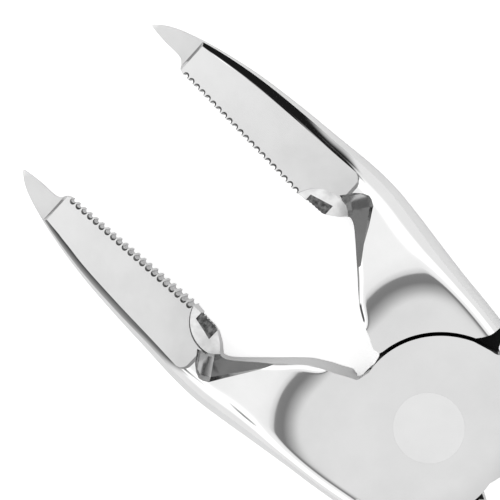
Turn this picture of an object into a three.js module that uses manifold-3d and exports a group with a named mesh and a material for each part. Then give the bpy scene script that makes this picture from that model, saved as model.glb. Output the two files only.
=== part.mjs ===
// A plier-type nutcracker: two identical forged levers, one turned over, crossing in a lap joint on a rivet.
// Millimetres, +Z up. The tool lies on its back: the pivot axis is +Z and the hubs' back faces are at z = 0.
// The jaws point along +Y and stand open. The front lever has the left jaw and the right handle.

import * as THREE from "three";
import { mergeVertices } from "three/addons/utils/BufferGeometryUtils.js";
import Module from "manifold-3d";

const hubHalfThickness = 5.5; // the levers are symmetric about their mid-plane, this high above the table
const lapGap = 0.5; // between the two lap faces, filled by the thrust washer
const washerClearance = 0.05; // on each face of the thrust washer
const shoulderGap = 0.6; // between a hub's edge and the other lever's shoulder
const ringPoints = 28; // round one section of a lever
const stationsBetween = 3; // sections made between two listed ones
const farAway = 60; // how far a cutter reaches past the lever

const jaw = {
  teeth: 21,
  toothDepth: 0.42,
  firstTooth: [-13.2, 64.9],
  lastTooth: [-11.95, 38.8],
  flatAtCrease: 3.25, // height of the ground flat over the mid-plane where it meets the arm
  flatAtStep: 1.05,
  creaseY: 33.2,
  stepY: 65.3,
  cornerX: -20.5, // the flat's outer corner at the crease, rounded in plan
  cornerRadius: 1.5,
  splay: 0.86, // rise of the flat's wall for each millimetre outwards
  bladeHalfThickness: 0.6, // of the pick at the tip
};
// Dished recess above and below the gripping web, with a steep rim.
const scoop = { x: -10.3, y: 33.5, floor: 0.85, rimRadius: 5.6, rimFloor: 2.1 };
// Leaning cut that brings the web's inner edge to a rough point: x and height at its wide end.
const slant = {
  fromY: 33.6,
  toY: 37.3,
  shift: 1.0,
  profile: [[-14.2, 1.4], [-11.4, 0], [-11.4, 4], [-14.2, 4]],
};
const pocket = {
  widest: [-16.05, 31.95],
  towardsHub: [6.55, -8.65],
  // Out from the neck's edge, and height.
  profile: [[-0.5, 9], [-0.5, 1.17], [3.3, 2.9], [3.9, 3.7], [4.8, 9]],
  // Towards the hub from the widest place, share of the width, and rise.
  stations: [[10.8, 0.02, 2.2], [0.6, 0.97, 0], [-0.5, 0.95, 0], [-1, 0.85, 0], [-1.4, 0.6, 0], [-1.6, 0.3, 0]],
};
// The level top of the hub ends in an arc. Past it the slope grows and then eases: distance, and slope.
const crown = {
  centre: [-9.5, 9],
  radius: 6.4,
  flatten: 0.35,
  slopes: [[0, 0], [4.6, 0.075], [7, 0.14], [18.5, 0.09], [61.5, 0.07]],
};
const corner = { left: 0.38, right: 0.32 }; // shares of half a ring spent on the roundings of its two ends
const hub = {
  radiusAtCrotch: 12.2, // the hub's edge is a cam: it grows evenly from the crotch to the handle
  radiusAtHandle: 14.7,
  crotchAngle: 91, // degrees from +X
  handleAngle: 16,
};
const rivet = { headRadius: 5.35, headDepth: 1.7, shankRadius: 3.6, clearance: 0.12 };
const washer = { innerRadius: 3.85, outerRadius: 9.5 };

// Sections of the front lever from the pick to the end of the handle. left and right are where the section's
// ends lie in plan, half is its half thickness before crowning, and each end is rounded: how far in, and how
// square (2 is an ellipse).
const sections = [
  { left: [-15.7, 73.7], right: [-15.2, 73.7], half: 7.5, leftEnd: [0.25, 2], rightEnd: [0.25, 2] },
  { left: [-17.2, 71.6], right: [-13.7, 71.2], half: 8.5, leftEnd: [1.0, 2], rightEnd: [0.5, 3] },
  { left: [-18.5, 68.4], right: [-12.7, 68.0], half: 6.5, leftEnd: [1.3, 2], rightEnd: [0.5, 3] },
  { left: [-19.9, 63.2], right: [-11.7, 63.2], half: 5.5, leftEnd: [1.8, 2], rightEnd: [0.5, 3] },
  { left: [-21.2, 56.0], right: [-11.0, 56.0], half: 5.5, leftEnd: [2.5, 2], rightEnd: [0.5, 3] },
  { left: [-22.0, 48.0], right: [-10.6, 48.0], half: 5.5, leftEnd: [3.2, 2], rightEnd: [0.5, 3] },
  { left: [-22.5, 40.0], right: [-10.4, 40.0], half: 5.5, leftEnd: [3.8, 2], rightEnd: [0.5, 3] },
  { left: [-22.9, 33.5], right: [-10.2, 34.5], half: 5.5, leftEnd: [4.2, 2], rightEnd: [2.5, 2.2] },
  { left: [-22.8, 28.5], right: [-12.2, 29.7], half: 5.5, leftEnd: [4.6, 2.1], rightEnd: [3.2, 2.2] },
  { left: [-22.1, 23.2], right: [-8.6, 25.3], half: 5.5, leftEnd: [5.0, 2.3], rightEnd: [3.4, 2.2] },
  { left: [-21.1, 17.5], right: [-4.7, 21.1], half: 5.5, leftEnd: [4.4, 2.7], rightEnd: [3.2, 2.4] },
  { left: [-20.1, 11.5], right: [-2.5, 17.8], half: 5.5, leftEnd: [3.6, 3.0], rightEnd: [2.6, 3] },
  { left: [-19.2, 5.0], right: [2.5, 18.0], half: 5.5, leftEnd: [3.6, 3.2], rightEnd: [2, 4] },
  { left: [-17.6, -3.0], right: [7.5, 15.4], half: 5.5, leftEnd: [3.6, 3.5], rightEnd: [1, 8] },
  { left: [-13.6, -10.6], right: [13.4, 11.4], half: 5.5, leftEnd: [2, 8], rightEnd: [2, 8] },
  { left: [-7.5, -15.4], right: [17.4, 4.0], half: 5.5, leftEnd: [2, 8], rightEnd: [3, 6] },
  { left: [-0.5, -17.4], right: [18.6, -4.0], half: 5.5, leftEnd: [4, 6], rightEnd: [4, 5] },
  { left: [4.4, -18.6], right: [19.8, -11.5], half: 5.4, leftEnd: [5, 4.5], rightEnd: [5, 4] },
  { left: [8.2, -25.0], right: [21.8, -20.0], half: 5.1, leftEnd: [6, 3], rightEnd: [6, 2.8] },
  { left: [13.2, -36.0], right: [25.4, -32.5], half: 4.8, leftEnd: [6, 2.4], rightEnd: [6, 2.3] },
  { left: [19.0, -51.0], right: [30.6, -48.5], half: 4.85, leftEnd: [5.6, 2.3], rightEnd: [5.6, 2.2] },
  { left: [23.8, -68.0], right: [35.3, -66.0], half: 5.15, leftEnd: [5.6, 2.2], rightEnd: [5.6, 2.2] },
  { left: [26.8, -85.0], right: [38.5, -84.0], half: 5.45, leftEnd: [5.7, 2.2], rightEnd: [5.7, 2.2] },
  { left: [28.0, -100.0], right: [39.7, -100.0], half: 5.5, leftEnd: [5.7, 2.2], rightEnd: [5.7, 2.2] },
  { left: [28.8, -109.5], right: [39.0, -110.5], half: 5.0, leftEnd: [5.0, 2.2], rightEnd: [5.0, 2.2] },
  { left: [30.9, -114.6], right: [36.8, -115.6], half: 3.6, leftEnd: [2.9, 2.1], rightEnd: [2.9, 2.1] },
  { left: [32.9, -116.4], right: [34.6, -116.7], half: 1.3, leftEnd: [0.8, 2], rightEnd: [0.8, 2] },
];

const wasm = await Module();
wasm.setup();

function solidFrom(geometry) {
  const bare = geometry.index ? geometry.toNonIndexed() : geometry.clone();
  bare.deleteAttribute("normal");
  bare.deleteAttribute("uv");
  const merged = mergeVertices(bare, 1e-4);
  return new wasm.Manifold(
    new wasm.Mesh({
      numProp: 3,
      vertProperties: new Float32Array(merged.attributes.position.array),
      triVerts: new Uint32Array(merged.index.array),
    }),
  );
}

function geometryFrom(solid) {
  const mesh = solid.getMesh();
  const geometry = new THREE.BufferGeometry();
  geometry.setAttribute("position", new THREE.BufferAttribute(mesh.vertProperties, 3));
  geometry.setIndex(new THREE.BufferAttribute(mesh.triVerts, 1));
  const faceted = geometry.toNonIndexed();
  faceted.computeVertexNormals();
  return faceted;
}

// An upright prism over a plan outline, from one height to another.
function prism(outline, bottom, top) {
  const shape = new THREE.Shape(outline.map(([x, y]) => new THREE.Vector2(x, y)));
  const geometry = new THREE.ExtrudeGeometry(shape, { depth: top - bottom, bevelEnabled: false });
  return solidFrom(geometry.translate(0, 0, bottom));
}

// A turned piece about Z: profile is a list of [radius, height] from axis to axis, or closed on itself.
function turned(profile, segments) {
  const points = profile.map(([r, z]) => new THREE.Vector2(r, z));
  return solidFrom(new THREE.LatheGeometry(points, segments).rotateX(Math.PI / 2));
}

// What share of the full thickness is left at a point of the plan.
function crownAt(x, y) {
  const along = Math.max(y - crown.centre[1], 0);
  let across = x - crown.centre[0];
  if (across > 0) across *= along > 0 ? crown.flatten : 0;
  const past = Math.hypot(across, along) - crown.radius;
  let drop = 0;
  for (let i = 0; i + 1 < crown.slopes.length; i += 1) {
    const [start, first] = crown.slopes[i];
    const [end, last] = crown.slopes[i + 1];
    const reach = Math.max(Math.min(past, end) - start, 0);
    drop += reach * (first + ((last - first) * reach) / (end - start) / 2);
  }
  return 1 - drop / hubHalfThickness;
}

// How far in from the right end and how high one point of a section lies. at runs from -1 to 1 round the ring.
function sectionPoint(at, width, half, leftEnd, rightEnd) {
  const share = Math.abs(at);
  const sign = Math.sign(at);
  if (share >= corner.right && share <= 1 - corner.left) {
    const along = (share - corner.right) / (1 - corner.left - corner.right);
    return [rightEnd.x + (width - leftEnd.x - rightEnd.x) * along, sign * half];
  }
  const onRight = share < corner.right;
  const end = onRight ? rightEnd : leftEnd;
  const around = ((onRight ? share / corner.right : (1 - share) / corner.left) * Math.PI) / 2;
  const across = Math.cos(around);
  const up = Math.sin(around);
  const reach = (across ** end.y + up ** end.y) ** (-1 / end.y);
  const inward = end.x * (1 - across * reach);
  return [onRight ? inward : width - inward, sign * half * up * reach];
}

function sectionRing(left, right, half, leftEnd, rightEnd) {
  const width = left.distanceTo(right);
  const points = [];
  for (let i = 0; i < ringPoints; i += 1) {
    const at = 1 - (2 * (i + 0.5)) / ringPoints;
    const [inward, height] = sectionPoint(at, width, half, leftEnd, rightEnd);
    const point = new THREE.Vector3().lerpVectors(right, left, inward / width);
    points.push(point.setZ(height * crownAt(point.x, point.y)));
  }
  return points;
}

function loft(rings) {
  const count = rings[0].length;
  const positions = rings.flat().flatMap((p) => [p.x, p.y, p.z]);
  const index = [];
  for (let ring = 0; ring + 1 < rings.length; ring += 1) {
    for (let i = 0; i < count; i += 1) {
      const a = ring * count + i;
      const b = ring * count + ((i + 1) % count);
      index.push(a, a + count, b, b, a + count, b + count);
    }
  }
  [0, rings.length - 1].forEach((ring) => {
    const middle = rings[ring].reduce((sum, p) => sum.add(p), new THREE.Vector3()).divideScalar(count);
    const centre = positions.push(middle.x, middle.y, middle.z) / 3 - 1;
    for (let i = 0; i < count; i += 1) {
      const a = ring * count + i;
      const b = ring * count + ((i + 1) % count);
      index.push(...(ring === 0 ? [centre, a, b] : [centre, b, a]));
    }
  });
  const geometry = new THREE.BufferGeometry();
  geometry.setAttribute("position", new THREE.Float32BufferAttribute(positions, 3));
  geometry.setIndex(index);
  return solidFrom(geometry);
}

function leverSkin() {
  const curve = (pick) => new THREE.CatmullRomCurve3(sections.map(pick), false, "catmullrom", 0.5);
  const left = curve((s) => new THREE.Vector3(...s.left, 0));
  const right = curve((s) => new THREE.Vector3(...s.right, 0));
  const half = curve((s) => new THREE.Vector3(s.half, 0, 0));
  const leftEnd = curve((s) => new THREE.Vector3(...s.leftEnd, 0));
  const rightEnd = curve((s) => new THREE.Vector3(...s.rightEnd, 0));
  const steps = (sections.length - 1) * stationsBetween;
  const rings = [];
  for (let i = 0; i <= steps; i += 1) {
    const [l, r, h, le, re] = [left, right, half, leftEnd, rightEnd].map((line) => line.getPoint(i / steps));
    rings.push(sectionRing(l, r, h.x, le, re));
  }
  return loft(rings);
}

const polar = (radius, degrees) => {
  const angle = THREE.MathUtils.degToRad(degrees);
  return [radius * Math.cos(angle), radius * Math.sin(angle)];
};
const turnHalf = ([x, y]) => [-x, -y];
const mirror = ([x, y]) => [-x, y];

// The hub's cam edge from the crotch to the handle, grown by a gap.
function hubEdge(gap) {
  const steps = 12;
  const points = [];
  for (let i = 0; i <= steps; i += 1) {
    const radius = THREE.MathUtils.lerp(hub.radiusAtCrotch, hub.radiusAtHandle, i / steps) + gap;
    points.push(polar(radius, THREE.MathUtils.lerp(hub.crotchAngle, hub.handleAngle, i / steps)));
  }
  return points;
}

// Scalloped teeth along the jaw's inner edge, from the pick towards the pivot.
function toothedEdge() {
  const scallop = [0, 0.55, 0.9, 1, 0.9, 0.55];
  const points = [];
  for (let tooth = 0; tooth < jaw.teeth; tooth += 1) {
    scallop.forEach((depth, i) => {
      const at = (tooth + 0.12 + (0.76 * i) / scallop.length) / jaw.teeth;
      const x = THREE.MathUtils.lerp(jaw.firstTooth[0], jaw.lastTooth[0], at) - depth * jaw.toothDepth;
      points.push([x, THREE.MathUtils.lerp(jaw.firstTooth[1], jaw.lastTooth[1], at)]);
    });
  }
  return points;
}

// The plan outline that trims the skin: pick, teeth, gripping web, crotch and hub edge. It misses the rest.
function trimOutline() {
  const pick = [[-15.35, 74], [-15.1, 72.2], [-14.9, 70], [-14.9, 68], [-14.7, 66.8], [-14.1, 66.1]];
  const web = [[-12.0, 37.6], [-12.15, 36], [-12.2, 34.2], [-12.7, 33.1], [-13.6, 31.8], [-14.5, 30.9]];
  const neck = [[-14.75, 30.3], [-14.4, 29.2], [-13.3, 27.6], [-11.8, 25.8], [-10, 23.8], [-8.1, 21.8]];
  const crotch = [[-6.3, 19.7], [-4.7, 17.3], [-3.85, 15.9], [-3.15, 14.6], [-2.6, 13.5], [-2.3, 12.85]];
  const rim = [[-1.9, 12.6], [-1.2, 12.45]];
  const handleCorner = [[14.85, 1.4], [15.1, 0.3], [15.9, -0.5], [18, -0.9]];
  const hubSide = [...hubEdge(0), ...handleCorner];
  const backCrotch = [[3.6, -15.4], [2.6, -13.5], [2.3, -12.85], [1.9, -12.6], [1.2, -12.45]];
  return [
    ...pick, [-13.5, 65.7], ...toothedEdge(), ...web, ...neck, ...crotch, ...rim, ...hubSide,
    [farAway, -2], [farAway, -2 * farAway], [4, -2 * farAway], [6, -21],
    ...backCrotch, ...hubSide.map(turnHalf),
    [-farAway, 2], [-farAway, 80], [-15.7, 80],
  ];
}

// The plan of the half-thickness recess for the other lever's hub. Its two shoulders match that hub's edge.
function lapOutline() {
  const outerCorner = [[-15.5, 3.6], [-16.9, 2.9], [-farAway, 2.4]];
  const shoulder = [[-2.9, 14.1], [-3.05, 13.05], ...hubEdge(shoulderGap).map(mirror).slice(3), ...outerCorner];
  return [...shoulder, [-farAway, -farAway], [-1, -24], ...shoulder.map(turnHalf), [farAway, farAway], [1, 24]];
}

const flatHeight = (y) =>
  THREE.MathUtils.mapLinear(y, jaw.creaseY, jaw.stepY, jaw.flatAtCrease, jaw.flatAtStep);

// The ground flat: its outline at its own level, splayed above the crease and round the corner.
function flatCutter() {
  const outline = [[-2, jaw.creaseY]];
  const steps = 5;
  const r = jaw.cornerRadius;
  for (let i = 0; i <= steps; i += 1) {
    const angle = ((Math.PI / 2) * i) / steps;
    outline.push([jaw.cornerX + r * (1 - Math.sin(angle)), jaw.creaseY + r * (1 - Math.cos(angle))]);
  }
  outline.push([-22, 37], [-26, 40], [-26, 85], [-2, 85]);
  const lower = outline.map(([x, y]) => new THREE.Vector3(x, y, flatHeight(y)));
  const upper = outline.map(([x, y]) => {
    const out = 5;
    const movedX = x < -20 ? x - out : x;
    const movedY = y < 35 ? y - out : y;
    return new THREE.Vector3(movedX, movedY, flatHeight(Math.max(movedY, jaw.creaseY)) + out * jaw.splay);
  });
  return loft([lower, upper]);
}

// Thins the pick: a slab in front of a leaning shoulder, swept across the jaw.
function pickCutter() {
  const profile = [
    [jaw.stepY + 0.1, jaw.flatAtStep + 3],
    [jaw.stepY + 0.1, jaw.flatAtStep],
    [jaw.stepY + 0.6, jaw.bladeHalfThickness],
    [jaw.stepY + 20, jaw.bladeHalfThickness - 0.2],
    [jaw.stepY + 20, jaw.flatAtStep + 3],
  ];
  const shape = new THREE.Shape(profile.map(([y, z]) => new THREE.Vector2(y, z)));
  const geometry = new THREE.ExtrudeGeometry(shape, { depth: 40, bevelEnabled: false });
  // The shape's x becomes +Y, its y becomes +Z and the sweep runs along +X.
  const axes = [new THREE.Vector3(0, 1, 0), new THREE.Vector3(0, 0, 1), new THREE.Vector3(1, 0, 0)];
  geometry.applyMatrix4(new THREE.Matrix4().makeBasis(...axes));
  return solidFrom(geometry.translate(-40, 0, 0));
}

function scoopCutter() {
  const profile = [];
  const steps = 6;
  for (let i = 0; i <= steps; i += 1) {
    const share = i / steps;
    profile.push([scoop.rimRadius * share, THREE.MathUtils.lerp(scoop.floor, scoop.rimFloor, share ** 2)]);
  }
  profile.push([scoop.rimRadius + 0.15, 12], [0, 12]);
  return turned(profile, 40).translate([scoop.x, scoop.y, 0]);
}

function slantCutter() {
  const ring = (y, shift) => slant.profile.map(([x, z]) => new THREE.Vector3(x + shift, y, z));
  return loft([ring(slant.fromY, 0), ring(slant.toY, slant.shift)]);
}

// A faceted pocket along the neck's inner edge, shallow towards the hub and blunt towards the jaw.
function pocketCutter() {
  const along = new THREE.Vector2(...pocket.towardsHub).normalize();
  const outward = new THREE.Vector2(along.y, -along.x);
  const ring = ([distance, share, rise]) => {
    const middle = new THREE.Vector2(...pocket.widest).addScaledVector(along, distance);
    const points = pocket.profile.map(([out, z]) => {
      const at = middle.clone().addScaledVector(outward, out > 0 ? out * share : out);
      return new THREE.Vector3(at.x, at.y, z + rise);
    });
    return points.reverse();
  };
  return loft(pocket.stations.map(ring));
}

const both = (cutter) => cutter.add(cutter.mirror([0, 0, 1]));

function lever() {
  let solid = leverSkin().intersect(prism(trimOutline(), -20, 20));
  solid = solid.subtract(both(flatCutter())).subtract(both(pickCutter()));
  solid = solid.subtract(both(scoopCutter())).subtract(both(pocketCutter())).subtract(both(slantCutter()));
  solid = solid.subtract(prism(lapOutline(), -20, lapGap / 2));
  const bore = rivet.shankRadius + rivet.clearance;
  const seat = rivet.headRadius + rivet.clearance;
  const seatBottom = hubHalfThickness - rivet.headDepth - rivet.clearance;
  const hole = [[0, -20], [bore, -20], [bore, seatBottom], [seat, seatBottom], [seat, 20], [0, 20]];
  return solid.subtract(turned(hole, 40));
}

// The rivet: a flush head in each hub and a plain shank between them.
function pivotRivet() {
  const top = hubHalfThickness;
  const under = top - rivet.headDepth;
  const { headRadius, shankRadius } = rivet;
  return turned([[0, -top], [headRadius, -top], [headRadius, -under], [shankRadius, -under],
    [shankRadius, under], [headRadius, under], [headRadius, top], [0, top]], 40);
}

function thrustWasher() {
  const half = lapGap / 2 - washerClearance;
  const { innerRadius, outerRadius } = washer;
  const profile = [[innerRadius, -half], [outerRadius, -half], [outerRadius, half], [innerRadius, half]];
  return turned([...profile, profile[0]], 40);
}

const steel = new THREE.MeshStandardMaterial({ color: 0xd9dadb, roughness: 0.08, metalness: 1 });
const rivetSteel = new THREE.MeshStandardMaterial({ color: 0xdedfe0, roughness: 0.12, metalness: 1 });
const washerNylon = new THREE.MeshStandardMaterial({ color: 0xe9e7e0, roughness: 0.5, metalness: 0 });

function node(name, geometry, material) {
  const mesh = new THREE.Mesh(geometry, material);
  mesh.name = name;
  mesh.position.z = hubHalfThickness;
  return mesh;
}

const leverGeometry = geometryFrom(lever());
const frontLever = node("front_lever", leverGeometry, steel);
const rearLever = node("rear_lever", leverGeometry, steel);
rearLever.rotation.y = Math.PI; // the same forging, turned over

const nutcracker = new THREE.Group();
nutcracker.add(frontLever, rearLever);
nutcracker.add(node("pivot_rivet", geometryFrom(pivotRivet()), rivetSteel));
nutcracker.add(node("thrust_washer", geometryFrom(thrustWasher()), washerNylon));

export default nutcracker;
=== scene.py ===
# A polished plier-type nutcracker: two identical cast levers, one turned over, on a flush rivet.
# Lengths in the dictionaries are millimetres. Levers are drawn about their own mid-plane and then lifted.
import math
import bpy
import bmesh
from mathutils import Euler, Matrix, Vector


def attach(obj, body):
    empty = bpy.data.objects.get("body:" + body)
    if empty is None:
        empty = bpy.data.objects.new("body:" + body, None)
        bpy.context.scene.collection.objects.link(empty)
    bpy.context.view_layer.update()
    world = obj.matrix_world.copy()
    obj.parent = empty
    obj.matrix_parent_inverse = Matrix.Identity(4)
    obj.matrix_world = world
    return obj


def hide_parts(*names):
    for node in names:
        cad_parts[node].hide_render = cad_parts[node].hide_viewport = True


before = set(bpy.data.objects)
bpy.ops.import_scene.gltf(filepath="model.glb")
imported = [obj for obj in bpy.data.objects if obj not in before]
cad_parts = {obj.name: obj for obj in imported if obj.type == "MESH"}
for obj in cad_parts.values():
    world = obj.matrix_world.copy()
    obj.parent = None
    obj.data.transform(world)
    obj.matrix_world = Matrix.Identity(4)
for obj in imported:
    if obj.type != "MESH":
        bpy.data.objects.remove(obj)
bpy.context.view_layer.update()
scene = bpy.context.scene
hubTop = 5.5  # the mid-plane's height above the table, and half the hub's thickness
mm = 0.001
print("frame loaded:", ", ".join(sorted(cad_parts)))


def linearColour(hexText):
    channels = [int(hexText[i:i + 2], 16) / 255 for i in (1, 3, 5)]
    return tuple(c / 12.92 if c <= 0.04045 else ((c + 0.055) / 1.055) ** 2.4 for c in channels) + (1.0,)


def addNode(tree, kind, settings=None, inputs=None):
    node = tree.nodes.new(kind)
    for name, value in (settings or {}).items():
        setattr(node, name, value)
    for socket, value in (inputs or {}).items():
        if isinstance(value, bpy.types.NodeSocket):
            tree.links.new(value, node.inputs[socket])
        else:
            node.inputs[socket].default_value = value
    return node


steelFinishes = {
    # smudge: its size in mm, how far it roughens and darkens; wave and grain: size and height in mm
    # mirror polish: clean reflections that bend a little where the buffing wheel left waves
    "polishedSteel": {
        "colour": "#efefef", "roughness": 0.03, "smudge": (11, 0.04, 0.95),
        "wave": (9, 0.004), "grain": (0.4, 0.0)},
    # the flats and picks, ground and then buffed: greyer, their reflections slightly blurred
    "groundSteel": {
        "colour": "#e0e0e0", "roughness": 0.12, "smudge": (7, 0.07, 0.94),
        "wave": (9, 0.003), "grain": (0.25, 0.0005)},
    # the scoop beside the flat, polished only in part: pale, with the casting's skin showing
    "castSteel": {
        "colour": "#dedede", "roughness": 0.3, "smudge": (1.5, 0.2, 0.85),
        "wave": (1.6, 0.02), "grain": (0.35, 0.006)},
    # the pocket, milled and left: crisp mid-grey facets
    "burrSteel": {
        "colour": "#c4c4c4", "roughness": 0.16, "smudge": (3, 0.08, 0.85),
        "wave": (3, 0.006), "grain": (0.2, 0.001)},
    # bottoms of tooth grooves and serrations, rough where no wheel reaches, and painted dark grey as the
    # shade that falls in these hollows
    "shadedGrooveSteel": {
        "colour": "#828282", "roughness": 0.45, "smudge": (0.7, 0.2, 0.3),
        "wave": (0.6, 0.08), "grain": (0.15, 0.012)},
    # walls inside the joint: nearly black and rough, painted shade for the deep, narrow gap
    "jointShadeSteel": {
        "colour": "#2a2a2a", "roughness": 0.5, "smudge": (5, 0.1, 0.7),
        "wave": (5, 0.0), "grain": (0.3, 0.002)},
    # the rivet, polished flush: a touch lighter than the hub
    "rivetSteel": {
        "colour": "#f6f6f6", "roughness": 0.05, "smudge": (6, 0.04, 0.97),
        "wave": (7, 0.002), "grain": (0.4, 0.0)},
}


def steelMaterial(name, finish):
    material = bpy.data.materials.new(name)
    material.use_nodes = True
    tree = material.node_tree
    shader = tree.nodes["Principled BSDF"]
    shader.inputs["Metallic"].default_value = 1.0
    place = addNode(tree, "ShaderNodeTexCoord").outputs["Object"]
    smudgeSize, rougher, darker = finish["smudge"]
    smudges = addNode(tree, "ShaderNodeTexNoise", inputs={
        "Vector": place, "Scale": 1 / (smudgeSize * mm), "Detail": 4.0, "Roughness": 0.6})
    shine = addNode(tree, "ShaderNodeMapRange", inputs={
        "Value": smudges.outputs["Fac"], "From Min": 0.35, "From Max": 0.75,
        "To Min": finish["roughness"], "To Max": finish["roughness"] + rougher})
    tree.links.new(shine.outputs["Result"], shader.inputs["Roughness"])
    colour = linearColour(finish["colour"])
    dulled = [c * darker for c in colour[:3]] + [1]
    patches = addNode(tree, "ShaderNodeMapRange", inputs={
        "Value": smudges.outputs["Fac"], "From Min": 0.35, "From Max": 0.65})
    tint = addNode(tree, "ShaderNodeMixRGB", inputs={
        "Fac": patches.outputs["Result"], "Color1": colour, "Color2": dulled})
    tree.links.new(tint.outputs["Color"], shader.inputs["Base Color"])
    bump = None
    for size, height in (finish["wave"], finish["grain"]):
        if not height:
            continue
        relief = addNode(tree, "ShaderNodeTexNoise", inputs={
            "Vector": place, "Scale": 1 / (size * mm), "Detail": 1.5})
        inputs = {"Height": relief.outputs["Fac"], "Distance": height * mm}
        if bump:
            inputs["Normal"] = bump.outputs["Normal"]
        bump = addNode(tree, "ShaderNodeBump", inputs=inputs)
    if bump:
        tree.links.new(bump.outputs["Normal"], shader.inputs["Normal"])
    return material


def washerMaterial():
    # moulded nylon: off-white, waxy, with a faint mottle
    material = bpy.data.materials.new("mouldedNylon")
    material.use_nodes = True
    tree = material.node_tree
    shader = tree.nodes["Principled BSDF"]
    place = addNode(tree, "ShaderNodeTexCoord").outputs["Object"]
    mottle = addNode(tree, "ShaderNodeTexNoise", inputs={
        "Vector": place, "Scale": 1 / (2 * mm), "Detail": 3.0})
    tint = addNode(tree, "ShaderNodeMixRGB", inputs={
        "Fac": mottle.outputs["Fac"], "Color1": linearColour("#e6e2d8"), "Color2": linearColour("#cfcabd")})
    tree.links.new(tint.outputs["Color"], shader.inputs["Base Color"])
    shine = addNode(tree, "ShaderNodeMapRange", inputs={
        "Value": mottle.outputs["Fac"], "To Min": 0.4, "To Max": 0.6})
    tree.links.new(shine.outputs["Result"], shader.inputs["Roughness"])
    bump = addNode(tree, "ShaderNodeBump", inputs={"Height": mottle.outputs["Fac"], "Distance": 0.01 * mm})
    tree.links.new(bump.outputs["Normal"], shader.inputs["Normal"])
    return material


materials = {name: steelMaterial(name, finish) for name, finish in steelFinishes.items()}
materials["mouldedNylon"] = washerMaterial()
print("materials made:", len(materials))


def finishMesh(bm, name, materialNames):
    bmesh.ops.recalc_face_normals(bm, faces=bm.faces)
    mesh = bpy.data.meshes.new(name)
    for materialName in materialNames:
        mesh.materials.append(materials[materialName])
    bm.to_mesh(mesh)
    bm.free()
    piece = bpy.data.objects.new(name, mesh)
    scene.collection.objects.link(piece)
    return piece


def vertsOf(grown):
    return [item for item in grown["geom"] if isinstance(item, bmesh.types.BMVert)]


def swept(corners, path):
    # a face through the corners, pushed along the path into a solid
    bm = bmesh.new()
    face = bm.faces.new([bm.verts.new(corner) for corner in corners])
    grown = bmesh.ops.extrude_face_region(bm, geom=[face])
    bmesh.ops.translate(bm, verts=vertsOf(grown), vec=path)
    return bm


def prism(name, outline, bottom, top, materialName, otherName=None, isOther=None):
    bm = swept([(x, y, bottom) for x, y in outline], (0, 0, top - bottom))
    for side in bm.faces:
        middle = side.calc_center_median()
        if isOther and abs(side.normal.z) < 0.5 and isOther(middle):
            side.material_index = 1
    return finishMesh(bm, name, [materialName, otherName or materialName])


def spun(name, profile, steps, materialName, flip=None, wallMaterial=None):
    bm = bmesh.new()
    verts = [bm.verts.new((r, 0, z)) for r, z in profile]
    edges = [bm.edges.new(pair) for pair in zip(verts, verts[1:])]
    bmesh.ops.spin(bm, geom=verts + edges, cent=(0, 0, 0), axis=(0, 0, 1), angle=2 * math.pi,
                   steps=steps, use_merge=True)
    bmesh.ops.remove_doubles(bm, verts=bm.verts, dist=1e-5)
    if flip:
        bmesh.ops.transform(bm, matrix=flip, verts=bm.verts)
    bm.normal_update()
    for side in bm.faces:
        side.material_index = 1 if wallMaterial and abs(side.normal.z) < 0.3 else 0
    return finishMesh(bm, name, [materialName, wallMaterial or materialName])


def cut(piece, cutter, operation="DIFFERENCE"):
    modifier = piece.modifiers.new("cut", "BOOLEAN")
    modifier.operation = operation
    modifier.solver = "EXACT"
    modifier.object = cutter
    modifier.material_mode = "TRANSFER"
    bpy.context.view_layer.update()
    mesh = bpy.data.meshes.new_from_object(piece.evaluated_get(bpy.context.evaluated_depsgraph_get()))
    piece.modifiers.clear()
    old = piece.data
    piece.data = mesh
    bpy.data.meshes.remove(old)
    bpy.data.objects.remove(cutter)


def settle(piece):
    # into metres and up to its height, smooth but for its corners and the borders between finishes
    piece.data.transform(Matrix.Scale(mm, 4) @ Matrix.Translation((0, 0, hubTop)))
    piece.data.shade_smooth()
    piece.data.set_sharp_from_angle(angle=math.radians(20))
    bm = bmesh.new()
    bm.from_mesh(piece.data)
    for edge in bm.edges:
        if len({face.material_index for face in edge.link_faces}) > 1:
            edge.smooth = False
    bm.to_mesh(piece.data)
    bm.free()


def throughPoints(values, at):
    # Catmull-Rom through a list, with at running from 0 to the last index
    i = min(int(at), len(values) - 2)
    t = at - i
    b, c = values[i], values[i + 1]
    a = values[i - 1] if i else 2 * b - c
    d = values[i + 2] if i + 2 < len(values) else 2 * c - b
    bend, swing = 2 * a - 5 * b + 4 * c - d, 3 * b - a - 3 * c + d
    return 0.5 * (2 * b + (c - a) * t + bend * t * t + swing * t ** 3)


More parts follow.
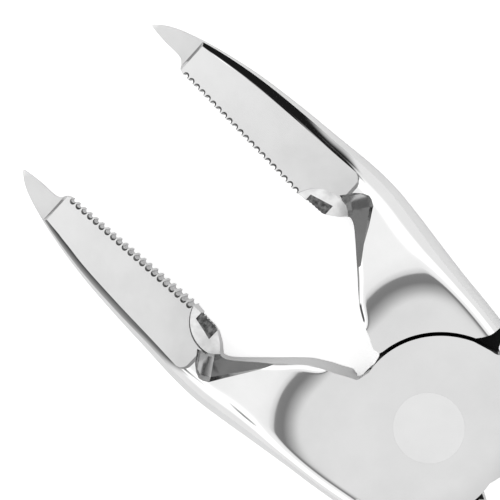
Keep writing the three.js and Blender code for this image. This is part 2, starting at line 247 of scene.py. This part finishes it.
skinShape = {
    "ringPoints": 160,
    "ringsBetween": 8,
    "corner": (0.32, 0.38),  # shares of half a ring spent on the right and the left end's rounding
    # the level top ends in an arc; past it the slope grows and then eases: distance past it, and slope
    "arcCentre": (-9.5, 9.0), "arcRadius": 6.4, "arcFlatten": 0.35,
    "slopes": [(0, 0), (4.6, 0.075), (7.0, 0.14), (18.5, 0.09), (61.5, 0.07)],
    # left end, right end, half thickness, left rounding (how far in, squareness), right rounding
    "sections": [
        ((-15.7, 73.7), (-15.2, 73.7), 7.5, (0.25, 2), (0.25, 2)),
        ((-17.2, 71.6), (-13.7, 71.2), 8.5, (1.0, 2), (0.5, 3)),
        ((-18.5, 68.4), (-12.7, 68.0), 6.5, (1.3, 2), (0.5, 3)),
        ((-19.9, 63.2), (-11.7, 63.2), 5.5, (1.8, 2), (0.5, 3)),
        ((-21.2, 56.0), (-11.0, 56.0), 5.5, (2.5, 2), (0.5, 3)),
        ((-22.0, 48.0), (-10.6, 48.0), 5.5, (3.2, 2), (0.5, 3)),
        ((-22.5, 40.0), (-10.4, 40.0), 5.5, (3.8, 2), (0.5, 3)),
        ((-22.9, 33.5), (-10.2, 34.5), 5.5, (4.2, 2), (2.5, 2.2)),
        ((-22.8, 28.5), (-12.2, 29.7), 5.5, (4.6, 2.1), (3.2, 2.2)),
        ((-22.1, 23.2), (-8.6, 25.3), 5.5, (5.0, 2.3), (3.4, 2.2)),
        ((-21.1, 17.5), (-4.7, 21.1), 5.5, (4.4, 2.7), (3.2, 2.4)),
        ((-20.1, 11.5), (-2.5, 17.8), 5.5, (3.6, 3.0), (2.6, 3)),
        ((-19.2, 5.0), (2.5, 18.0), 5.5, (3.6, 3.2), (2, 4)),
        ((-17.6, -3.0), (7.5, 15.4), 5.5, (3.6, 3.5), (1, 8)),
        ((-13.6, -10.6), (13.4, 11.4), 5.5, (2, 8), (2, 8)),
        ((-7.5, -15.4), (17.4, 4.0), 5.5, (2, 8), (3, 6)),
        ((-0.5, -17.4), (18.6, -4.0), 5.5, (4, 6), (4, 5)),
        ((4.4, -18.6), (19.8, -11.5), 5.4, (5, 4.5), (5, 4)),
        ((8.2, -25.0), (21.8, -20.0), 5.1, (6, 3), (6, 2.8)),
        ((13.2, -36.0), (25.4, -32.5), 4.8, (6, 2.4), (6, 2.3)),
        ((19.0, -51.0), (30.6, -48.5), 4.85, (5.6, 2.3), (5.6, 2.2)),
        ((23.8, -68.0), (35.3, -66.0), 5.15, (5.6, 2.2), (5.6, 2.2)),
        ((26.8, -85.0), (38.5, -84.0), 5.45, (5.7, 2.2), (5.7, 2.2)),
        ((28.0, -100.0), (39.7, -100.0), 5.5, (5.7, 2.2), (5.7, 2.2)),
        ((28.8, -109.5), (39.0, -110.5), 5.0, (5.0, 2.2), (5.0, 2.2)),
        ((30.9, -114.6), (36.8, -115.6), 3.6, (2.9, 2.1), (2.9, 2.1)),
        ((32.9, -116.4), (34.6, -116.7), 1.3, (0.8, 2), (0.8, 2)),
    ],
}
jawShape = {
    "teeth": 21, "firstTooth": (-13.2, 64.9), "lastTooth": (-11.95, 38.8),
    "grooveRadius": 0.42, "mouthRadius": 0.5, "mouthDepth": 0.35, "mouthShift": 0.22,
    "flatAtCrease": 3.25, "flatAtStep": 1.05, "creaseY": 33.2, "stepY": 65.3, "bladeHalf": 0.6,
    "cornerX": -20.5, "cornerRadius": 1.5,
    "splay": (5, 4.3),  # how far out and up the flat's wall leans
}
scoopShape = {"x": -10.3, "y": 33.5, "floor": 0.85, "rimRadius": 5.6, "rimFloor": 2.1}
serrationShape = {
    "from": (-12.0, 37.3), "to": (-12.0, 33.6), "count": 6, "radius": 0.22,
    # the leaning cut through the web's edge: x and height at its wide end
    "slant": [(-14.2, 1.4), (-11.4, 0.0), (-11.4, 4.0), (-14.2, 4.0)], "slantShift": 1.0,
}
pocketShape = {
    "widest": (-16.05, 31.95), "towardsHub": (6.55, -8.65),
    # the profile where it is widest: millimetres out from the neck's edge, and height
    "profile": [(-1.1, 9.0), (-1.1, 1.2), (3.3, 2.9), (3.9, 3.7), (4.8, 9.0)],
    # stations: distance towards the hub, shares of the profile's outer and inner reach, rise of the floor
    "stations": [(10.8, 0.02, 1.0, 2.2), (0.9, 0.97, 0.3, 0.0), (-0.2, 0.95, 0.38, 0.0),
                 (-0.8, 0.88, 0.65, 0.0), (-1.3, 0.66, 0.8, 0.0), (-1.6, 0.35, 0.9, 0.0)],
}
hubShape = {
    "radiusAtCrotch": 12.2, "radiusAtHandle": 14.7, "crotchAngle": 91, "handleAngle": 16,
    "shoulderGap": 0.6, "lapGap": 0.5, "boreRadius": 3.72, "seatRadius": 5.36, "seatDepth": 1.7,
}


def crown(x, y):
    # what share of the full thickness is left at a point
    s = skinShape
    across, along = x - s["arcCentre"][0], max(y - s["arcCentre"][1], 0)
    if across > 0:
        across *= s["arcFlatten"] if along else 0
    past = math.hypot(across, along) - s["arcRadius"]
    drop = 0
    for (start, first), (end, last) in zip(s["slopes"], s["slopes"][1:]):
        reach = min(past, end) - start
        if reach > 0:
            drop += reach * (first + (last - first) * reach / (end - start) / 2)
    return 1 - drop / hubTop


def sectionPoint(turn, width, half, leftEnd, rightEnd):
    # distance in from the right end, and height, of one point of a section
    rightShare, leftShare = skinShape["corner"]
    share = min(abs(turn) / math.pi, 1.0)
    if share < rightShare:
        (depth, square), around = rightEnd, share / rightShare
    elif share > 1 - leftShare:
        (depth, square), around = leftEnd, (1 - share) / leftShare
    else:
        along = (share - rightShare) / (1 - leftShare - rightShare)
        return rightEnd[0] + (width - leftEnd[0] - rightEnd[0]) * along, math.copysign(half, turn)
    across, up = math.cos(around * math.pi / 2), math.sin(around * math.pi / 2)
    reach = (across ** square + up ** square) ** (-1 / square)
    inward = depth * (1 - across * reach)
    return (inward if share < rightShare else width - inward), math.copysign(half * up * reach, turn)


def leverSkin():
    rows = [(*left, *right, half, *leftEnd, *rightEnd)
            for left, right, half, leftEnd, rightEnd in skinShape["sections"]]
    columns = list(zip(*rows))
    bm = bmesh.new()
    turn = bm.verts.layers.float.new("turn")
    ring = bmesh.ops.create_circle(
        bm, segments=skinShape["ringPoints"], radius=1.0, cap_ends=False)["verts"]
    ringSet = set(ring)
    for vert in ring:
        vert[turn] = math.atan2(vert.co.y, vert.co.x)
    count = (len(skinShape["sections"]) - 1) * skinShape["ringsBetween"]
    ends = []
    for step in range(count + 1):
        if step:
            edges = {e for v in ring for e in v.link_edges if e.other_vert(v) in ringSet}
            ring = vertsOf(bmesh.ops.extrude_edge_only(bm, edges=list(edges)))
            ringSet = set(ring)
        leftX, leftY, rightX, rightY, half, *roundings = (
            throughPoints(column, step / skinShape["ringsBetween"]) for column in columns)
        left, right = Vector((leftX, leftY, 0)), Vector((rightX, rightY, 0))
        width = (left - right).length
        for vert in ring:
            inward, height = sectionPoint(vert[turn], width, half, roundings[:2], roundings[2:])
            vert.co = right.lerp(left, inward / width)
            vert.co.z = height * crown(vert.co.x, vert.co.y)
        if step in (0, count):
            ends.append(ringSet)
    for end in ends:
        rim = [e for e in bm.edges if e.is_boundary and e.verts[0] in end and e.verts[1] in end]
        bmesh.ops.holes_fill(bm, edges=rim, sides=0)
    return finishMesh(bm, "skin", ["polishedSteel"])


def hubEdge(gap):
    # the cam-shaped edge, from the crotch to the handle, with a gap outside it
    h = hubShape
    steps = 40
    points = []
    for i in range(steps + 1):
        radius = h["radiusAtCrotch"] + (h["radiusAtHandle"] - h["radiusAtCrotch"]) * i / steps + gap
        angle = math.radians(h["crotchAngle"] + (h["handleAngle"] - h["crotchAngle"]) * i / steps)
        points.append((radius * math.cos(angle), radius * math.sin(angle)))
    return points


def smoothLine(points, between=6):
    xs, ys = zip(*points)
    stops = [i / between for i in range((len(points) - 1) * between + 1)]
    return [(throughPoints(xs, at), throughPoints(ys, at)) for at in stops]


def turnHalf(points):
    return [(-x, -y) for x, y in points]


def trimOutline():
    # the lever's inner edge in plan, closed far outside it
    pick = smoothLine([(-15.35, 74), (-15.1, 72.2), (-14.9, 70), (-14.9, 68), (-14.7, 66.8),
                       (-14.1, 66.1), (-13.5, 65.7)], 4)
    web = [(-12.0, 37.6), (-12.15, 36.0), (-12.2, 34.2), (-12.7, 33.1), (-13.6, 31.8), (-14.5, 30.9)]
    neck = [(-14.75, 30.3), (-14.3, 29.2), (-13.0, 27.6), (-11.4, 25.8), (-9.6, 23.8), (-7.7, 21.8)]
    crotch = [(-5.9, 19.7), (-4.5, 17.3), (-3.85, 15.9), (-3.15, 14.6), (-2.6, 13.5), (-2.3, 12.85),
              (-1.9, 12.6), (-1.2, 12.45)]
    hubSide = hubEdge(0) + smoothLine([(14.85, 1.4), (15.1, 0.3), (15.9, -0.5), (18, -0.9)])
    backCrotch = [(3.6, -15.4), (2.6, -13.5), (2.3, -12.85), (1.9, -12.6), (1.2, -12.45)]
    return (pick + [jawShape["firstTooth"], jawShape["lastTooth"]] + smoothLine(web + neck + crotch)
            + hubSide + [(60, -2), (60, -120), (4, -120), (6, -21)] + smoothLine(backCrotch)
            + turnHalf(hubSide) + [(-60, 2), (-60, 80), (-15.7, 80)])


def lapOutline():
    # what the other lever's hub takes out of this one, in plan
    outerCorner = smoothLine([(-15.5, 3.6), (-16.9, 2.9), (-20, 2.4)])
    edge = [(-x, y) for x, y in hubEdge(hubShape["shoulderGap"])[9:]]
    shoulder = [(-2.9, 14.1), (-3.05, 13.05)] + edge + outerCorner + [(-60, 2.4)]
    return shoulder + [(-60, -60), (-1, -24)] + turnHalf(shoulder) + [(60, 60), (1, 24)]


def sideProfile(name, profile, materialName):
    # a profile of (y, z) swept across the jaw
    return finishMesh(swept([(-40, y, z) for y, z in profile], (40, 0, 0)), name, [materialName])


def flatHeight(y):
    # of the ground flat over the mid-plane
    j = jawShape
    share = (y - j["creaseY"]) / (j["stepY"] - j["creaseY"])
    return j["flatAtCrease"] + (j["flatAtStep"] - j["flatAtCrease"]) * share


def flatCutter(side):
    # the flat's outline, drawn at its own level and splayed at 41 degrees above the crease
    j = jawShape
    steps = 12
    corner = []
    for i in range(steps + 1):
        angle = math.pi / 2 * i / steps
        corner.append((j["cornerX"] + j["cornerRadius"] * (1 - math.sin(angle)),
                       j["creaseY"] + j["cornerRadius"] * (1 - math.cos(angle))))
    outline = [(-2, j["creaseY"])] + corner + [(-22, 37), (-26, 40), (-26, 85), (-2, 85)]
    out, up = j["splay"]
    bm = bmesh.new()
    face = bm.faces.new([bm.verts.new((x, y, 0)) for x, y in outline])
    for vert in vertsOf(bmesh.ops.extrude_face_region(bm, geom=[face])):
        vert.co += Vector((-out if vert.co.x < -20 else 0, -out if vert.co.y < 35 else 0, up))
    for vert in bm.verts:
        y = vert.co.y if vert.co.z == 0 else max(vert.co.y, j["creaseY"])
        vert.co.z = (vert.co.z + flatHeight(y)) * side
    return finishMesh(bm, "flat", ["groundSteel"])


def pickProfile():
    # the step at the flat's end and the thin blade past it, from the side
    j = jawShape
    step = j["stepY"] + 0.1
    return [(step, 4), (step, j["flatAtStep"]), (j["stepY"] + 0.6, j["bladeHalf"]),
            (j["stepY"] + 20, j["bladeHalf"] - 0.2), (j["stepY"] + 20, 4)]


def pocketCutter(side):
    p = pocketShape
    along = Vector(p["towardsHub"]).normalized()
    outward = Vector((along.y, -along.x))
    bm = bmesh.new()
    rings = []
    for distance, outer, inner, rise in p["stations"]:
        middle = Vector(p["widest"]) + along * distance
        places = [middle + outward * out * (outer if out > 0 else inner) for out, z in p["profile"]]
        ring = [bm.verts.new((*place, side * (z + rise))) for place, (out, z) in zip(places, p["profile"])]
        rings.append([bm.edges.new(pair) for pair in zip(ring, ring[1:] + ring[:1])])
    for ring, following in zip(rings, rings[1:]):
        bmesh.ops.bridge_loops(bm, edges=ring + following)
    bmesh.ops.holes_fill(bm, edges=rings[0] + rings[-1], sides=0)
    return finishMesh(bm, "pocket", ["burrSteel"])


def grooveRow(bm, start, end, count, profileAt, shift=0):
    # turned grooves standing in a row, the profile of each as radius and height
    for groove in range(count):
        at = (groove + 0.5) / count
        x = start[0] + (end[0] - start[0]) * at + shift
        y = start[1] + (end[1] - start[1]) * at
        verts = [bm.verts.new((x + radius, y, z)) for radius, z in profileAt(y)]
        edges = [bm.edges.new(pair) for pair in zip(verts, verts[1:])]
        bmesh.ops.spin(bm, geom=verts + edges, cent=(x, y, 0), axis=(0, 0, 1), angle=2 * math.pi,
                       steps=20, use_merge=True)
    bmesh.ops.remove_doubles(bm, verts=bm.verts, dist=1e-4)


def toothGrooves():
    j = jawShape
    bm = bmesh.new()
    grooveRow(bm, j["firstTooth"], j["lastTooth"], j["teeth"],
              lambda y: [(0, -6), (j["grooveRadius"], -6), (j["grooveRadius"], 6), (0, 6)])
    return finishMesh(bm, "grooves", ["castSteel"])


def toothMouths(side):
    # a cone at the end of each tooth groove, reaching a little above the flat, in the groove steel painted
    # dark grey as shade
    j = jawShape
    over = 0.2
    bm = bmesh.new()

    def coneAt(y):
        low, high = side * (flatHeight(y) - j["mouthDepth"]), side * (flatHeight(y) + over)
        narrow, wide = j["mouthRadius"] - j["mouthDepth"], j["mouthRadius"] + over
        return [(0, low), (narrow, low), (wide, high), (0, high)]

    grooveRow(bm, j["firstTooth"], j["lastTooth"], j["teeth"], coneAt, -j["mouthShift"])
    return finishMesh(bm, "mouths", ["shadedGrooveSteel"])


def serrations():
    s = serrationShape
    bm = bmesh.new()
    # the serration grooves take the groove steel painted dark grey as shade
    grooveRow(bm, s["from"], s["to"], s["count"],
              lambda y: [(0, -3), (s["radius"], -3), (s["radius"], 3), (0, 3)])
    return finishMesh(bm, "serrations", ["shadedGrooveSteel"])


def serrationSlant(side):
    s = serrationShape
    path = (s["slantShift"], s["from"][1] - s["to"][1], 0)
    corners = [(x, s["to"][1], z * side) for x, z in s["slant"]]
    # the leaning cut takes the same dark grey painted shade
    return finishMesh(swept(corners, path), "slant", ["shadedGrooveSteel"])


def scoopCutter(side):
    # a dish with a steep rim, whose walls take the groove steel painted dark grey as shade
    c = scoopShape
    steps = 12
    profile = []
    for i in range(steps + 1):
        height = c["floor"] + (c["rimFloor"] - c["floor"]) * (i / steps) ** 2
        profile.append((c["rimRadius"] * i / steps, side * height))
    profile += [(c["rimRadius"] + 0.15, 12 * side), (0, 12 * side)]
    place = Matrix.Translation((c["x"], c["y"], 0))
    return spun("scoop", profile, 96, "castSteel", place, "shadedGrooveSteel")


def boreCutter():
    h = hubShape
    seatBottom = hubTop - h["seatDepth"]
    profile = [(0, -20), (h["boreRadius"], -20), (h["boreRadius"], seatBottom),
               (h["seatRadius"], seatBottom), (h["seatRadius"], 20), (0, 20)]
    # the bore's walls are painted nearly black as shade
    return spun("bore", profile, 96, "jointShadeSteel")


def buildLever(name):
    piece = leverSkin()
    # the hub's cam edge runs inside the joint, but the shoulder's start is in the open; the walls inside
    # the joint are painted nearly black as shade
    cut(piece, prism("trim", trimOutline(), -20, 20, "polishedSteel", "jointShadeSteel",
                     lambda middle: middle.xy.length < 15.2 and middle.x * middle.y > 0), "INTERSECT")
    cut(piece, toothGrooves())
    for side in (1, -1):
        cut(piece, flatCutter(side))
        cut(piece, toothMouths(side))
        cut(piece, sideProfile("pick", [(y, z * side) for y, z in pickProfile()], "groundSteel"))
        cut(piece, scoopCutter(side))
        cut(piece, pocketCutter(side))
        cut(piece, serrationSlant(side))
    cut(piece, serrations())
    # the lap takes the nearly black painted joint shade, but for its walls near the crotch, which are in
    # the open
    cut(piece, prism("lap", lapOutline(), -20, hubShape["lapGap"] / 2, "jointShadeSteel", "polishedSteel",
                     lambda middle: abs(middle.x) < 3.2))
    cut(piece, boreCutter())
    piece.name = name
    return piece


frontLever = buildLever("frontLever")
print("lever cut:", len(frontLever.data.polygons), "faces,", [m.name for m in frontLever.data.materials])
rearLever = bpy.data.objects.new("rearLever", frontLever.data.copy())
scene.collection.objects.link(rearLever)
rearLever.data.transform(Matrix.Rotation(math.pi, 4, "Y"))
for piece in (frontLever, rearLever):
    settle(piece)
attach(frontLever, "front")
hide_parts("front_lever")
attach(rearLever, "rear")
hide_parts("rear_lever")

rivetShape = {"headRadius": 5.355, "headDepth": 1.68, "shankRadius": 3.6}


def buildRivet():
    r = rivetShape
    under = hubTop - r["headDepth"]
    profile = [(0, -hubTop), (r["headRadius"], -hubTop), (r["headRadius"], -under),
               (r["shankRadius"], -under), (r["shankRadius"], under), (r["headRadius"], under),
               (r["headRadius"], hubTop), (0, hubTop)]
    return spun("pivotRivet", profile, 96, "rivetSteel")


pivotRivet = buildRivet()
settle(pivotRivet)
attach(pivotRivet, "front")
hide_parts("pivot_rivet")

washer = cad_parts["thrust_washer"]
washer.data.materials.clear()
washer.data.materials.append(materials["mouldedNylon"])
print("rivet and washer done")

studio = {
    "floorSize": 4.0, "lightCentre": (-8.0, -3.0), "wide": 60,
    # what the floor gives to the eye, and what the steel finds in it
    "floorLight": (0.6, 0.1), "floorTone": (0.8, 0.76),
    # brightness by degrees from the light's centre: an even disc, a dark surround with a hard outer edge,
    # then white, and greyer towards the room's far walls
    "overhead": [(0, 0.86), (4.0, 0.86), (6.5, 0.5), (9.0, 0.22), (11.9, 0.25), (12.0, 0.68), (14.5, 0.97),
                 (22, 1.06), (28, 1.4), (50, 1.3), (58, 0.93)],
    # screens standing round the table: plan angles where each starts and ends, how many degrees those
    # two edges lean over its height, height as a sine, brightness at its top and foot
    "screens": [
        {"plan": (28, 31, 149, 152), "lean": (0, 0), "height": (0.62, 0.5), "tone": (0.33, 0.33)},
        {"plan": (10, 12.6, 33, 37), "lean": (3.6, 10), "height": (0.62, 0.54), "tone": (0.012, 0.012)},
        {"plan": (15.0, 16.1, 33, 37), "lean": (0, 10), "height": (0.79, 0.71), "tone": (0.012, 0.012)},
        {"plan": (20, 24, 33, 37), "lean": (0, 10), "height": (0.87, 0.79), "tone": (0.012, 0.012)},
        {"plan": (143, 147, 168.5, 172), "lean": (-10, -3), "height": (0.62, 0.54), "tone": (0.07, 0.5)},
        {"plan": (143, 147, 165, 167), "lean": (-10, 0), "height": (0.79, 0.71), "tone": (0.05, 0.5)},
    ],
}


def buildWorld():
    world = bpy.data.worlds.new("softStudio")
    world.use_nodes = True
    tree = world.node_tree
    direction = addNode(tree, "ShaderNodeTexCoord").outputs["Generated"]
    centre = Vector([math.tan(math.radians(a)) for a in studio["lightCentre"]] + [1]).normalized()
    toCentre = addNode(tree, "ShaderNodeVectorMath", {"operation": "DOT_PRODUCT"}, {
        0: direction, 1: centre})
    angle = addNode(tree, "ShaderNodeMath", {"operation": "ARCCOSINE"}, {0: toCentre.outputs["Value"]})
    share = addNode(tree, "ShaderNodeMath", {"operation": "DIVIDE"}, {
        0: angle.outputs[0], 1: math.radians(studio["wide"])})
    ramp = addNode(tree, "ShaderNodeValToRGB", inputs={"Fac": share.outputs[0]})
    elements = ramp.color_ramp.elements
    while len(elements) < len(studio["overhead"]):
        elements.new(0.5)
    for element, (degrees, light) in zip(elements, studio["overhead"]):
        element.position = degrees / studio["wide"]
        element.color = (light, light, light, 1)
    light = ramp.outputs["Color"]
    split = addNode(tree, "ShaderNodeSeparateXYZ", inputs={0: direction})
    plan = addNode(tree, "ShaderNodeMath", {"operation": "ARCTAN2"}, {
        0: split.outputs["Y"], 1: split.outputs["X"]})
    eased = {"interpolation_type": "SMOOTHSTEP"}
    for screen in studio["screens"]:
        start, full, fading, end = (math.radians(a) for a in screen["plan"])
        nearLean, farLean = (addNode(tree, "ShaderNodeMath", {"operation": "MULTIPLY_ADD"}, {
            0: split.outputs["Z"], 1: math.radians(-lean), 2: plan.outputs[0]}) for lean in screen["lean"])
        near = addNode(tree, "ShaderNodeMapRange", eased, {
            "Value": nearLean.outputs[0], "From Min": start, "From Max": full})
        far = addNode(tree, "ShaderNodeMapRange", eased, {
            "Value": farLean.outputs[0], "From Min": end, "From Max": fading})
        low = addNode(tree, "ShaderNodeMapRange", eased, {
            "Value": split.outputs["Z"], "From Min": screen["height"][0],
            "From Max": screen["height"][1]})
        tone = addNode(tree, "ShaderNodeMapRange", inputs={
            "Value": split.outputs["Z"], "From Min": screen["height"][1], "From Max": 0.0,
            "To Min": screen["tone"][0], "To Max": screen["tone"][1]})
        across = addNode(tree, "ShaderNodeMath", {"operation": "MULTIPLY"}, {
            0: near.outputs[0], 1: far.outputs[0]})
        cover = addNode(tree, "ShaderNodeMath", {"operation": "MULTIPLY"}, {
            0: across.outputs[0], 1: low.outputs[0]})
        mix = addNode(tree, "ShaderNodeMixRGB", inputs={
            "Fac": cover.outputs[0], "Color1": light, "Color2": tone.outputs[0]})
        light = mix.outputs[0]
    seen = addNode(tree, "ShaderNodeLightPath").outputs["Is Camera Ray"]
    backdrop = addNode(tree, "ShaderNodeMixRGB", inputs={
        "Fac": seen, "Color1": light, "Color2": (1, 1, 1, 1)})
    tree.links.new(backdrop.outputs[0], tree.nodes["Background"].inputs["Color"])
    return world


scene.world = buildWorld()

bm = bmesh.new()
bmesh.ops.create_grid(bm, x_segments=1, y_segments=1, size=studio["floorSize"] / 2)
bmesh.ops.translate(bm, verts=bm.verts, vec=(0, 0, -0.0002))
floorMesh = bpy.data.meshes.new("floor")
bm.to_mesh(floorMesh)
bm.free()
floor = bpy.data.objects.new("floor", floorMesh)
scene.collection.objects.link(floor)
floorPaper = bpy.data.materials.new("whitePaper")
floorPaper.use_nodes = True
floorTree = floorPaper.node_tree
paper = floorTree.nodes["Principled BSDF"]
paper.inputs["Roughness"].default_value = 0.9
paper.inputs["Emission Color"].default_value = (1, 1, 1, 1)
toEye = addNode(floorTree, "ShaderNodeLightPath").outputs["Is Camera Ray"]
levels = (("Base Color", studio["floorTone"]), ("Emission Strength", studio["floorLight"]))
for socket, (eye, steel) in levels:
    level = addNode(floorTree, "ShaderNodeMapRange", inputs={
        "Value": toEye, "To Min": steel, "To Max": eye})
    floorTree.links.new(level.outputs[0], paper.inputs[socket])
floorMesh.materials.append(floorPaper)

cameraSet = {"place": (31.17, 18.86, 236.61), "turn": (4.857, 7.594, -47.207), "lens": 108}
cameraData = bpy.data.cameras.new("camera")
cameraData.lens = cameraSet["lens"]
cameraData.sensor_width = 36
cameraData.clip_start = 0.01
camera = bpy.data.objects.new("camera", cameraData)
scene.collection.objects.link(camera)
turned = Euler([math.radians(a) for a in cameraSet["turn"]], "ZYX")
camera.matrix_world = Matrix.LocRotScale(Vector(cameraSet["place"]) * mm, turned, None)
scene.camera = camera
scene.view_settings.view_transform = "Standard"
